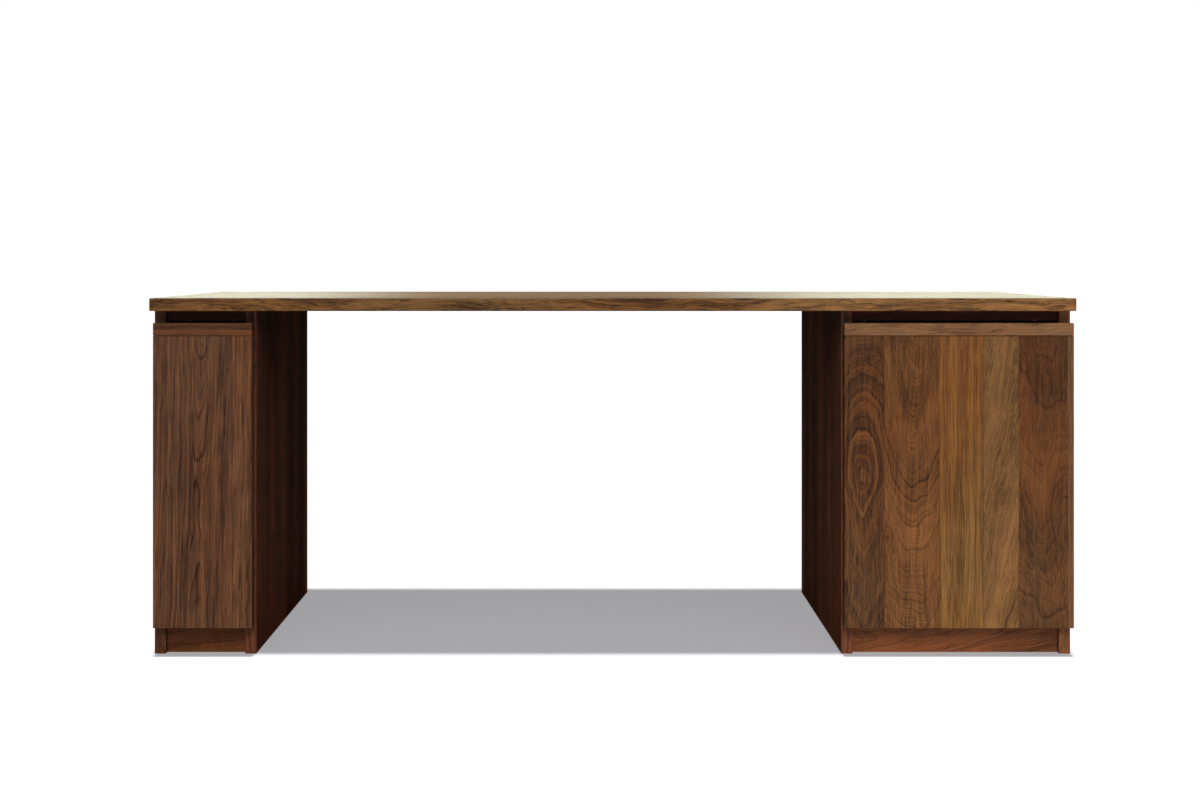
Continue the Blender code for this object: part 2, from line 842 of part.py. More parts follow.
def build_tray(level, low_x, high_x, front_y, rear_y, low_z, ends):
    """A tray of the pull-out: two side boards and a thin bottom that slides in their grooves."""
    made = []
    bottom_z = low_z + tray_lift
    inner_low, inner_high = low_x + box_side_thickness, high_x - box_side_thickness
    reach = tray_groove - seat_gap
    tray_low = (inner_low - reach, front_y - reach, bottom_z)
    tray_high = (inner_high + reach, rear_y + reach, bottom_z + tray_thickness)
    spans = {"left": (low_x, inner_low), "right": (inner_high, high_x)}
    for side_name, (side_low, side_high) in spans.items():
        housed = box_housing - seat_gap
        low = (side_low, front_y - housed, low_z)
        high = (side_high, rear_y + housed, low_z + box_side_height)
        side = board(f"pullout_{level}_{side_name}_side", low, high, PALE_WOOD)
        cut_box(side, (tray_low[0], front_y - cutter_overrun, tray_low[2]),
                (tray_high[0], rear_y + cutter_overrun, tray_high[2]))
        for end in ends:
            cut_box(end, low, high)
        made.append(side)
    made.append(board(f"pullout_{level}_tray", tray_low, tray_high, PALE_WOOD))
    for end in ends:
        cut_box(end, tray_low, tray_high)
    return made


def build_pullout():
    """The left front with the two-tier box behind it, on four telescopic runners."""
    inner_low, inner_high = left_outer_face + side_thickness, left_knee_face - side_thickness
    moving = build_front(
        "pullout", left_outer_face + left_front_reveal, left_knee_face - left_front_reveal
    )
    runner_room = runner_thickness + 2 * seat_gap
    low_x, high_x = inner_low + runner_room, inner_high - runner_room
    front_y = front_rear + seat_gap + box_end_thickness
    rear_y = front_rear + box_depth - box_end_thickness
    lower_z = floor_top + box_lift
    upper_z = lower_z + upper_tray_rise
    rear_top = upper_z + box_side_height + box_back_rise
    inner_front = board(
        "pullout_inner_front",
        (low_x, front_rear + seat_gap, lower_z),
        (high_x, front_y, grip_bottom - box_front_drop),
        PALE_WOOD,
        box_arris,
    )
    rear = board(
        "pullout_rear_board", (low_x, rear_y, lower_z), (high_x, rear_y + box_end_thickness, rear_top),
        PALE_WOOD, box_arris,
    )
    moving += [inner_front, rear]
    middles = []
    for level, low_z in (("lower", lower_z), ("upper", upper_z)):
        moving += build_tray(level, low_x, high_x, front_y, rear_y, low_z, (inner_front, rear))
        for side_name, face, inwards in (("left", inner_low, 1), ("right", inner_high, -1)):
            middle, box_member = build_runner(
                f"runner_{level}_{side_name}", face, inwards, low_z + box_side_height / 2
            )
            middles.append(middle)
            moving.append(box_member)
    for side_name, x in (
        ("left", left_outer_face + side_thickness / 2),
        ("right", left_knee_face - side_thickness / 2),
    ):
        moving.append(build_bumper(f"pullout_bumper_{side_name}", x, kick_height + bumper_inset))
    slide_axis = ((low_x + high_x) / 2, front_rear, lower_z)
    carry(moving, "pullout_slide_axis", slide_axis)
    carry(middles, "runner_middle_slide_axis", slide_axis)


build_desktop()
build_cabinet("left", "left_outer_side", "left_knee_side", left_outer_face, left_knee_face)
right_sides = build_cabinet(
    "right", "right_knee_side", "right_outer_side", right_knee_face, right_outer_face
)
build_shelf(*right_sides)
build_door(right_sides[1])
build_pullout()
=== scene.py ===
"""Walnut desk on two cabinets: finishes, small hardware and the studio it stands in."""

import json
import math
from collections import namedtuple

import bmesh
import bpy
from mathutils import Matrix, Vector

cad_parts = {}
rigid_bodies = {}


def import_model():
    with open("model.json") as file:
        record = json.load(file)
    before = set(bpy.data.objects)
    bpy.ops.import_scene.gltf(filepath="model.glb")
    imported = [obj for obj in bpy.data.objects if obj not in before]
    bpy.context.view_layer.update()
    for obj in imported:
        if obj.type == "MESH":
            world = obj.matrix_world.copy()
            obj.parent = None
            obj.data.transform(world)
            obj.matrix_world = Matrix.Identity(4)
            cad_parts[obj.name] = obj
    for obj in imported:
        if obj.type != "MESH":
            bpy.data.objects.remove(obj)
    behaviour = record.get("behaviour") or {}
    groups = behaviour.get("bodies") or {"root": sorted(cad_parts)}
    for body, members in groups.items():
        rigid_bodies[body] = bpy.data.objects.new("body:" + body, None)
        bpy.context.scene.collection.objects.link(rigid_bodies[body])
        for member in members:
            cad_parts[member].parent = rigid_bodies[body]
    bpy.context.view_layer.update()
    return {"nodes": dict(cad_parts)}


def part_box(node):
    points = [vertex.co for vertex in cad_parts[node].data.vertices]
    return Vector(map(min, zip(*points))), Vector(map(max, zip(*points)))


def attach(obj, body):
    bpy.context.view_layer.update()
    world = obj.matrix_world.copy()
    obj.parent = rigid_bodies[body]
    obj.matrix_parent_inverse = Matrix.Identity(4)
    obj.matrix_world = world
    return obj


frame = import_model()

# Desktop
# Solid walnut, 25 mm thick, edge-glued from long boards that run from end to end. The front board
# is a golden one with dark flecks. Sanded fine, arrises just broken by hand, and oiled to a satin.

# One board of a panel, in metres. It ends at `to` across the panel. Its years are rings round a
# heart at `pith`, `depth` behind the face, that leans along the board and, where swell is given,
# opens out from `centre` both ways, or closes in where it is below zero. A pale vein follows one
# ring, a pin knot pushes the grain, and slant is how far the grain runs off the board's length.
# The last field is the share of its panel's painted light and shade tint that a board takes.
Board = namedtuple(
    "Board",
    "to pith depth ring light dark lean centre swell vein knot_x knot_z slant wobble lines streaks"
    " bands arches fade",
    defaults=(0.0, 0.0, 0.0, 0.0, 9.0, 9.0, 0.0, 1.0, 1.0, 1.0, 1.0, 0.0, 0.0),
)


def shade(red, green, blue):
    """A colour given as a paint chart does, from 0 to 255, as light."""
    return tuple(
        (v / 255 / 12.92) if v <= 10 else ((v / 255 + 0.055) / 1.055) ** 2.4 for v in (red, green, blue)
    ) + (1.0,)


def put(tree, kind, *given, **settings):
    """Adds a shader node, feeds its open sockets in order and returns its first open output."""
    node = tree.nodes.new("ShaderNode" + kind)
    for name, value in settings.items():
        setattr(node, name, value)
    for socket, value in zip([s for s in node.inputs if s.enabled], given):
        if isinstance(value, bpy.types.NodeSocket):
            tree.links.new(value, socket)
        elif value is not None:
            socket.default_value = value
    return next(s for s in node.outputs if s.enabled)


def sum_of(tree, operation, *given, clamp=False):
    return put(tree, "Math", *given, operation=operation, use_clamp=clamp)


def stretched(tree, place, scales, seed, detail=2.0, roughness=0.5):
    """Noise stretched along the grain, from about -0.5 to 0.5, as a value and as a vector."""
    scaled = put(tree, "VectorMath", place, scales, operation="MULTIPLY")
    moved = put(tree, "VectorMath", scaled, seed, operation="ADD")
    noise = put(tree, "TexNoise", moved, 1.0, detail, roughness).node
    value = sum_of(tree, "SUBTRACT", noise.outputs["Fac"], 0.5)
    vector = put(
        tree, "VectorMath", noise.outputs["Color"], (0.5, 0.5, 0.5), operation="SUBTRACT"
    )
    return value, vector


def step_up(tree, value, low, high, floor=0.0, ceiling=1.0):
    """Rises smoothly from floor to ceiling as the value goes from low to high."""
    return put(
        tree, "MapRange", value, low, high, floor, ceiling, interpolation_type="SMOOTHSTEP"
    )


def mixed(tree, share, first, second, blend_type="MIX"):
    return put(
        tree, "Mix", share, first, second, data_type="RGBA", blend_type=blend_type, clamp_factor=True
    )


def grown_wood():
    """Walnut as it grew, as a group: yearly rings round a heart that leans, fibres, pores, streaks."""
    tree = bpy.data.node_groups.new("grown_walnut", "ShaderNodeTree")
    for name in ("Place", "Seed"):
        tree.interface.new_socket(name, in_out="INPUT", socket_type="NodeSocketVector")
    for name in Board._fields[1:4] + Board._fields[6:-1]:
        tree.interface.new_socket(name, in_out="INPUT", socket_type="NodeSocketFloat")
    for name in ("light", "dark"):
        tree.interface.new_socket(name, in_out="INPUT", socket_type="NodeSocketColor")
    tree.interface.new_socket("Colour", in_out="OUTPUT", socket_type="NodeSocketColor")
    for name in ("Height", "Roughness"):
        tree.interface.new_socket(name, in_out="OUTPUT", socket_type="NodeSocketFloat")
    given = tree.nodes.new("NodeGroupInput").outputs
    place, seed = given["Place"], given["Seed"]

    drift, drift_vector = stretched(tree, place, (9.0, 9.0, 2.4), seed, 1.0)
    ripple, _ = stretched(tree, place, (60.0, 60.0, 16.0), seed, 3.0, 0.6)
    _, sway = stretched(tree, place, (26.0, 26.0, 9.0), seed, 1.0)
    sway = put(tree, "VectorMath", sway, (0.016, 0.016, 0.0), operation="MULTIPLY")
    pushed = put(tree, "VectorMath", drift_vector, (0.03, 0.03, 0.0), operation="MULTIPLY")
    pushed = put(tree, "VectorMath", pushed, sway, operation="ADD")
    pushed = put(tree, "VectorMath", pushed, operation="SCALE")
    tree.links.new(given["wobble"], pushed.node.inputs["Scale"])
    warped = put(tree, "VectorMath", place, pushed, operation="ADD")
    grown = put(tree, "SeparateXYZ", warped).node

    along = sum_of(tree, "SUBTRACT", grown.outputs["Z"], given["centre"])
    slid = sum_of(tree, "MULTIPLY", along, given["slant"])
    slid = put(tree, "CombineXYZ", slid, 0.0, 0.0)
    fibres = put(tree, "VectorMath", warped, slid, operation="SUBTRACT")
    leant = sum_of(tree, "MULTIPLY_ADD", along, given["lean"], given["depth"])
    deep = sum_of(tree, "SUBTRACT", leant, grown.outputs["Y"])
    across = put(tree, "SeparateXYZ", fibres).node.outputs["X"]
    aside = sum_of(tree, "SUBTRACT", across, given["pith"])
    flat = put(tree, "CombineXYZ", aside, deep, 0.0)
    flat = put(tree, "VectorMath", flat, operation="LENGTH").node.outputs["Value"]
    opened = put(tree, "CombineXYZ", along, 0.02, 0.0)
    opened = put(tree, "VectorMath", opened, operation="LENGTH").node.outputs["Value"]
    opened = sum_of(tree, "MULTIPLY", sum_of(tree, "POWER", opened, 0.8), given["swell"])
    cube = sum_of(tree, "MULTIPLY", sum_of(tree, "MULTIPLY", opened, opened), opened)
    cube = sum_of(tree, "ADD", sum_of(tree, "POWER", flat, 3.0), cube, clamp=True)
    radius = sum_of(tree, "POWER", cube, 1 / 3)
    rough_outline = sum_of(tree, "MULTIPLY_ADD", given["arches"], 0.004, 0.003)
    rippled = sum_of(tree, "MULTIPLY", sum_of(tree, "MULTIPLY", ripple, rough_outline), given["wobble"])
    radius = sum_of(tree, "ADD", radius, rippled)
    pointed = step_up(tree, along, -0.06, 0.0, 0.55, 0.0)
    pointed = sum_of(tree, "MULTIPLY", sum_of(tree, "MULTIPLY", pointed, given["arches"]), flat)
    radius = sum_of(tree, "ADD", radius, pointed)
    knot = put(
        tree, "CombineXYZ",
        sum_of(tree, "SUBTRACT", across, given["knot_x"]), 0.0,
        sum_of(tree, "MULTIPLY", sum_of(tree, "SUBTRACT", grown.outputs["Z"], given["knot_z"]), 0.55),
    )
    knot = put(tree, "VectorMath", knot, operation="LENGTH").node.outputs["Value"]
    knot = sum_of(tree, "POWER", step_up(tree, knot, 0.0, 0.026, 1.0, 0.0), 2.0)
    radius = sum_of(tree, "MULTIPLY_ADD", knot, 0.008, radius)

    seasons = put(tree, "CombineXYZ", radius, 0.0, 0.0)
    season, _ = stretched(tree, seasons, (70.0, 1.0, 1.0), seed, 1.0)
    band, _ = stretched(tree, seasons, (26.0, 1.0, 1.0), seed, 1.0)
    fine, _ = stretched(tree, seasons, (320.0, 1.0, 1.0), seed, 3.0, 0.8)
    radius = sum_of(tree, "MULTIPLY_ADD", season, 0.012, radius)
    years = sum_of(tree, "DIVIDE", radius, given["ring"])
    year = sum_of(tree, "FRACT", years)
    whole = put(tree, "CombineXYZ", sum_of(tree, "FLOOR", years), 0.0, 0.0)
    strength = put(tree, "TexWhiteNoise", put(tree, "VectorMath", whole, seed, operation="ADD"))
    strength = sum_of(tree, "MULTIPLY_ADD", sum_of(tree, "POWER", strength, 3.0), 0.8, 0.25)
    late = sum_of(tree, "POWER", year, 9.0)
    late = sum_of(tree, "MULTIPLY_ADD", sum_of(tree, "POWER", year, 2.0), 0.3, late)
    late = sum_of(tree, "MULTIPLY", late, step_up(tree, year, 0.96, 1.0, 1.0, 0.0))
    late = sum_of(tree, "MULTIPLY", late, strength)
    line = sum_of(tree, "MULTIPLY", late, given["lines"])

    streak, _ = stretched(tree, fibres, (140.0, 140.0, 2.6), seed, 3.0, 0.7)
    thread, _ = stretched(tree, fibres, (480.0, 480.0, 10.0), seed, 3.0, 0.7)
    curl, _ = stretched(tree, place, (11.0, 11.0, 26.0), seed, 2.0)
    pore, _ = stretched(tree, place, (1500.0, 1500.0, 75.0), seed, 1.0)
    pore = sum_of(tree, "MULTIPLY", step_up(tree, pore, 0.1, 0.2), step_up(tree, year, 0.0, 0.7, 1.0, 0.35))
    scratch, _ = stretched(tree, place, (15.0, 15.0, 480.0), seed, 0.0)
    scratch = step_up(tree, scratch, 0.26, 0.32)

    vein = sum_of(tree, "ABSOLUTE", sum_of(tree, "SUBTRACT", radius, given["vein"]))
    vein = step_up(tree, vein, 0.0001, 0.0008, 1.0, 0.0)
    growth, _ = stretched(tree, seasons, (130.0, 1.0, 1.0), seed, 2.0, 0.8)
    growth = step_up(tree, growth, -0.16, 0.16, -0.42, 0.42)
    upper = step_up(tree, along, -0.09, 0.02, 0.35, 1.0)
    growth = sum_of(tree, "MULTIPLY_ADD", growth, upper, 0.08)
    growth = sum_of(tree, "MULTIPLY", growth, given["arches"])

    dark = sum_of(tree, "MULTIPLY_ADD", sum_of(tree, "MULTIPLY", band, given["bands"]), 1.4, 0.4)
    dark = sum_of(tree, "MULTIPLY_ADD", knot, 0.15, dark)
    dark = sum_of(tree, "MULTIPLY_ADD", vein, -0.4, sum_of(tree, "ADD", dark, growth))
    dark = sum_of(tree, "MULTIPLY_ADD", line, 1.1, dark)
    dark = sum_of(tree, "MULTIPLY_ADD", sum_of(tree, "MULTIPLY", fine, given["lines"]), 0.9, dark)
    dark = sum_of(tree, "MULTIPLY_ADD", sum_of(tree, "MULTIPLY", streak, given["streaks"]), 1.1, dark)
    dark = sum_of(tree, "MULTIPLY_ADD", thread, 2.0, dark)
    mottled = sum_of(tree, "MULTIPLY", curl, sum_of(tree, "MULTIPLY_ADD", given["bands"], 0.3, 0.1))
    dark = sum_of(tree, "ADD", mottled, dark)
    dark = sum_of(tree, "MULTIPLY_ADD", scratch, -0.25, dark)
    dark = sum_of(tree, "MULTIPLY_ADD", pore, 0.3, dark, clamp=True)
    colour = mixed(tree, dark, given["light"], given["dark"])
    warm = mixed(
        tree, step_up(tree, sum_of(tree, "MULTIPLY_ADD", mottled, -0.5, drift), -0.3, 0.3),
        (0.92, 1.02, 1.10, 1.0), (1.08, 0.97, 0.88, 1.0),
    )
    colour = mixed(tree, 1.0, colour, warm, "MULTIPLY")
    pale = mixed(tree, 1.0, given["light"], (1.45, 1.35, 1.15, 1.0), "MULTIPLY")
    colour = mixed(tree, sum_of(tree, "MULTIPLY", vein, 0.35), colour, pale)
    height = sum_of(tree, "MULTIPLY_ADD", pore, -1.0, sum_of(tree, "MULTIPLY", thread, 0.35))
    height = sum_of(tree, "MULTIPLY_ADD", late, -0.2, height)
    rough = sum_of(tree, "MULTIPLY_ADD", dark, 0.1, 0.4)
    rough = sum_of(tree, "MULTIPLY_ADD", pore, 0.15, rough)
    made = tree.nodes.new("NodeGroupOutput").inputs
    for socket, value in zip(made, (colour, height, rough)):
        tree.links.new(value, socket)
    return tree


GROWN = grown_wood()


def by_board(tree, number, values):
    """Looks up a value or a colour by the board's number in its panel."""
    count = len(values)
    coloured = isinstance(values[0], tuple)
    if all(v == values[0] for v in values):
        return values[0]
    low, high = (0.0, 1.0) if coloured else (min(values), max(values))
    middle = sum_of(tree, "DIVIDE", sum_of(tree, "ADD", number, 0.5), float(count))
    chosen = put(tree, "ValToRGB", middle)
    stops = chosen.node.color_ramp
    stops.interpolation = "CONSTANT"
    while len(stops.elements) < count:
        stops.elements.new(1.0)
    for place, value in enumerate(values):
        stops.elements[place].position = place / count
        grey = value if coloured else ((value - low) / (high - low),) * 3 + (1.0,)
        stops.elements[place].color = grey
    return chosen if coloured else sum_of(tree, "MULTIPLY_ADD", chosen, high - low, low)


def walnut(
    name, order, face, boards, seed, gloss=0.0, fade=(0.0, 1.0, (1.0, 1.0, 1.0, 1.0)),
    arris=((150, 108, 70), 0.3, 0.0012), joint=None,
):
    """Oiled walnut. order names the axes across, through and along the boards of the panel, and
    face is where its show face lies. fade gives where the panel's painted light and shade starts
    and ends along the boards, and its tint. arris is the colour, share and radius of its edges,
    which are rubbed paler on most panels and carry a painted shade line on the desktop. joint is
    the end that is glued."""
    made = bpy.data.materials.new(name)
    made.use_nodes = True
    tree = made.node_tree
    shader = tree.nodes["Principled BSDF"]
    coordinates = put(tree, "TexCoord").node.outputs
    axes = put(tree, "SeparateXYZ", coordinates["Object"]).node.outputs
    across, through, along = (axes[axis] for axis in order)
    inward = sum_of(tree, "ABSOLUTE", sum_of(tree, "SUBTRACT", through, face))
    place = put(tree, "CombineXYZ", across, inward, along)
    number = 0.0
    seam = 1.0
    for board in boards[:-1]:
        past = sum_of(tree, "GREATER_THAN", across, board.to)
        number = sum_of(tree, "ADD", number, past)
        off = sum_of(tree, "ABSOLUTE", sum_of(tree, "SUBTRACT", across, board.to))
        seam = sum_of(tree, "MINIMUM", seam, off)
    seeds = put(tree, "CombineXYZ", number, float(seed), 0.0)
    seeds = put(tree, "VectorMath", seeds, (17.3, 5.9, 31.7), operation="MULTIPLY")
    wood = put(tree, "Group", node_tree=GROWN).node
    tree.links.new(place, wood.inputs["Place"])
    tree.links.new(seeds, wood.inputs["Seed"])
    for field in Board._fields[1:-1]:
        values = [getattr(board, field) for board in boards]
        chosen = by_board(tree, number, [shade(*v) if isinstance(v, tuple) else v for v in values])
        if isinstance(chosen, bpy.types.NodeSocket):
            tree.links.new(chosen, wood.inputs[field])
        else:
            wood.inputs[field].default_value = chosen
    colour, height, rough = wood.outputs
    painted_light_share = by_board(tree, number, [board.fade for board in boards])
    # Painted light and shade: a tint laid along the boards between two points, in each board's share.
    if painted_light_share != 0.0:
        painted_light_share = sum_of(tree, "MULTIPLY", step_up(tree, along, fade[0], fade[1], 1.0, 0.0), painted_light_share)
        colour = mixed(tree, painted_light_share, colour, mixed(tree, 1.0, colour, fade[2], "MULTIPLY"))
    if len(boards) > 1:
        glued = step_up(tree, seam, 0.0002, 0.0007, 0.6, 0.0)
        colour = mixed(tree, glued, colour, shade(52, 30, 18))
    faces = put(tree, "SeparateXYZ", coordinates["Normal"]).node.outputs
    end = sum_of(tree, "ABSOLUTE", faces[order[2]])
    end = step_up(tree, end, 0.7, 0.95)
    colour = mixed(tree, sum_of(tree, "MULTIPLY", end, 0.45), colour, shade(58, 34, 20))
    rough = sum_of(tree, "MULTIPLY_ADD", end, 0.12, rough)
    rough = sum_of(tree, "SUBTRACT", rough, gloss)
    if joint:
        glued = step_up(tree, along, joint - 0.0030, joint - 0.0012, 0.0, 0.5)
        colour = mixed(tree, glued, colour, shade(40, 22, 13))
    # Edges take the arris colour: paler rubbed wear on most panels, painted shade along the desktop's
    # arrises.
    rounded = put(tree, "Bevel", arris[2], samples=4)
    flat = put(tree, "NewGeometry").node.outputs["Normal"]
    turned = put(tree, "VectorMath", rounded, flat, operation="DOT_PRODUCT").node.outputs["Value"]
    edge_wear_and_shade = step_up(tree, turned, 0.99, 0.8)
    colour = mixed(tree, sum_of(tree, "MULTIPLY", edge_wear_and_shade, arris[1]), colour, shade(*arris[0]))
    bump = put(tree, "Bump", 0.35, 0.0003)
    tree.links.new(height, bump.node.inputs["Height"])
    tree.links.new(rounded, bump.node.inputs["Normal"])
    tree.links.new(colour, shader.inputs["Base Color"])
    tree.links.new(rough, shader.inputs["Roughness"])
    tree.links.new(bump, shader.inputs["Normal"])
    shader.inputs["IOR"].default_value = 1.48
    shader.inputs["Specular IOR Level"].default_value = 0.5
    return made


def finish(material, *nodes):
    """Gives CAD pieces their finish."""
    for node in nodes:
        for slot in frame["nodes"][node].material_slots:
            slot.material = material


top_low, top_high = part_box("desktop")
desktop_boards = [
    Board(-0.205, -0.34, 0.06, 0.0030, (152, 106, 61), (52, 31, 16), lean=0.02, slant=0.03,
          streaks=2.5, lines=1.4, wobble=1.8, fade=1.0),
    Board(-0.105, -0.15, 0.03, 0.0030, (126, 86, 54), (74, 46, 28), lean=0.04, centre=-0.9),
    Board(-0.010, 0.10, 0.05, 0.0035, (138, 98, 62), (84, 54, 34), lean=-0.01),
    Board(0.090, 0.035, 0.10, 0.0030, (122, 82, 52), (66, 41, 26), lean=-0.04, centre=0.25),
    Board(0.180, 0.14, 0.01, 0.0030, (132, 90, 56), (80, 50, 30), swell=0.05, centre=-0.2),
    Board(0.300, 0.45, 0.05, 0.0040, (124, 86, 56), (76, 49, 31), lean=0.02),
]
# The front board darkens towards the left end: painted shade. The dark line along the desktop's arrises is
# painted shade too.
finish(
    walnut(
        "oiled_walnut_desktop", "YZX", top_high.z, desktop_boards, 1, gloss=0.08,
        fade=(0.1, 0.5, (0.60, 0.58, 0.56, 1.0)), arris=((46, 27, 14), 0.8, 0.002),
    ),
    "desktop",
)

# Cabinet boards
# The standing sides are walnut boards glued up with upright grain; floors, stretchers and plinths
# are single boards with the grain lying. They are darker and redder than the fronts, and the
# stretchers darker and redder again with painted shade from under the desktop.


def plain_boards(low, high, count, light, dark, ring=0.004, lean=0.03, depth=0.035, streaks=1.0):
    """A run of like boards from low to high, each cut from another place in the tree."""
    width = (high - low) / count
    run = []
    for n in range(count):
        centre = low + width * (n + 0.5)
        turn = (n * 0.618) % 1.0
        run.append(Board(
            low + width * (n + 1),
            centre + width * (turn - 0.5) * 1.6,
            depth * (0.6 + turn),
            ring * (0.8 + 0.5 * turn),
            tuple(v * (0.92 + 0.16 * turn) for v in light),
            tuple(v * (0.92 + 0.16 * turn) for v in dark),
            lean=lean * (1 if n % 2 else -1),
            centre=0.3,
            streaks=streaks,
        ))
    return run


# The right cabinet's tones are lighter than the left's: painted light from the right. The knee sides' darker
# tones are partly painted shade of the knee space.
for cabinet, outer_light, outer_dark, side_light, side_dark, low_light, low_dark in (
    ("left", (112, 66, 36), (62, 34, 20), (112, 64, 42), (44, 21, 15), (105, 58, 28), (59, 29, 13)),
    ("right", (168, 104, 62), (108, 66, 40), (130, 77, 51), (58, 31, 22), (135, 82, 50), (83, 46, 25)),
):
    for seed, side, light, dark, streaks in (
        (2, "outer_side", outer_light, outer_dark, 1.0),
        (3, "knee_side", side_light, side_dark, 2.4),
    ):
        side_low, side_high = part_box(f"{cabinet}_{side}")
        boards = plain_boards(side_low.y, side_high.y, 6, light, dark, streaks=streaks)
        face = max(side_low.x, side_high.x, key=abs)
        if side == "knee_side":
            face = min(side_low.x, side_high.x, key=abs)
        finish(
            walnut(f"oiled_walnut_{cabinet}_{side}", "YXZ", face, boards, seed), f"{cabinet}_{side}"
        )
    back_low, back_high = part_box(f"{cabinet}_back_panel")
    boards = plain_boards(
        back_low.x, back_high.x, 1 if cabinet == "left" else 3, side_light, side_dark
    )
    finish(
        walnut(f"oiled_walnut_{cabinet}_back", "XYZ", back_high.y, boards, 4),
        f"{cabinet}_back_panel",
    )
    floor_low, floor_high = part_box(f"{cabinet}_floor_board")
    boards = plain_boards(floor_low.y, floor_high.y, 5, side_light, side_dark)
    finish(
        walnut(f"oiled_walnut_{cabinet}_floor", "YZX", floor_high.z, boards, 5),
        f"{cabinet}_floor_board",
    )
    # The stretchers' tint is painted shade: they stand in the dark gap under the desktop.
    for seed, board, tint in (
        (6, "front_plinth", (1.0, 1.0, 1.0)),
        (7, "rear_plinth", (1.0, 1.0, 1.0)),
        (8, "front_stretcher", (0.80, 0.58, 0.58)),
        (9, "rear_stretcher", (0.80, 0.58, 0.58)),
    ):
        low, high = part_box(f"{cabinet}_{board}")
        light = tuple(v * share for v, share in zip(low_light, tint))
        dark = tuple(v * share for v, share in zip(low_dark, tint))
        lying = [
            Board(1.0, low.z - 0.01, 0.03, 0.0030, light, dark, lean=0.06, centre=0.2, slant=0.15)
        ]
        finish(
            walnut(f"oiled_walnut_{cabinet}_{board}", "ZYX", low.y, lying, seed),
            f"{cabinet}_{board}",
        )

# Shelf
# A walnut panel glued up from five boards with the grain along it. It lies loose on four steel
# pins in the door cabinet.

shelf_low, shelf_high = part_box("right_shelf")
boards = plain_boards(shelf_low.y, shelf_high.y, 5, (122, 80, 52), (76, 46, 28))
finish(walnut("oiled_walnut_shelf", "YZX", shelf_high.z, boards, 11), "right_shelf")

# Steel battens, runners and shelf pins
# Rolled and folded steel, bright zinc plated. The plating has a fine rolling grain and cloudy
# patches.


def metal(name, colour, rough, order, grain=260.0):
    """Plated or rolled metal with a fine grain along its length and soft cloudy patches."""
    made = bpy.data.materials.new(name)
    made.use_nodes = True
    tree = made.node_tree
    shader = tree.nodes["Principled BSDF"]
    axes = put(tree, "SeparateXYZ", put(tree, "TexCoord").node.outputs["Object"]).node.outputs
    place = put(tree, "CombineXYZ", *(axes[axis] for axis in order))
    rolled, _ = stretched(tree, place, (grain * 6, grain * 6, grain / 12), (1.0, 2.0, 3.0), 3.0)
    cloud, _ = stretched(tree, place, (90.0, 90.0, 60.0), (4.0, 1.0, 7.0), 3.0)
    tone = sum_of(tree, "MULTIPLY_ADD", cloud, 0.5, 0.5)
    tone = sum_of(tree, "MULTIPLY_ADD", rolled, 0.3, tone, clamp=True)
    darker = tuple(v * 0.72 for v in colour)
    tree.links.new(mixed(tree, tone, shade(*darker), shade(*colour)), shader.inputs["Base Color"])
    roughness = sum_of(tree, "MULTIPLY_ADD", cloud, 0.25, rough)
    tree.links.new(roughness, shader.inputs["Roughness"])
    bump = put(tree, "Bump", 0.15, 0.0001)
    tree.links.new(rolled, bump.node.inputs["Height"])
    tree.links.new(bump, shader.inputs["Normal"])
    shader.inputs["Metallic"].default_value = 1.0
    return made


zinc = metal("bright_zinc_plate", (196, 198, 202), 0.32, "XZY")
levels, sides = ("lower", "upper"), ("left", "right")
finish(
    zinc,
    "batten_left",
    "batten_right",
    *(f"shelf_pin_{n}" for n in range(1, 5)),
    *(
        f"runner_{level}_{side}_{member}_member"
        for level in levels for side in sides for member in ("cabinet", "middle", "box")
    ),
)

# Screws
# Zinc plated steel with a cross recess. They hold each cabinet to the desktop through slots in its
# stretchers, on washers, and the battens, back panels, runners and the pull-out's front.

# The bottoms of the cross recesses take a dark metal: painted shade.
painted_recess_shade = metal("painted_shade_recess", (52, 50, 48), 0.5, "XYZ")
head_facets = 24
washer_thickness = 0.001
hold_down_inset = 0.0323
back_panel_screw_inset = 0.010
batten_screw_inset = 0.040
runner_screw_inset = 0.035
front_screw_spacing, front_screw_heights = 0.045, (0.25, 0.54)


def lift(shape, face, rise, narrowing):
    """Draws a face up on new walls, a little narrower, and returns it."""
    made = bmesh.ops.extrude_face_region(shape, geom=[face, *face.edges])["geom"]
    corners = [piece for piece in made if isinstance(piece, bmesh.types.BMVert)]
    bmesh.ops.translate(shape, vec=(0.0, 0.0, rise), verts=corners)
    bmesh.ops.scale(shape, vec=(narrowing, narrowing, 1.0), verts=corners)
    return next(piece for piece in made if isinstance(piece, bmesh.types.BMFace))


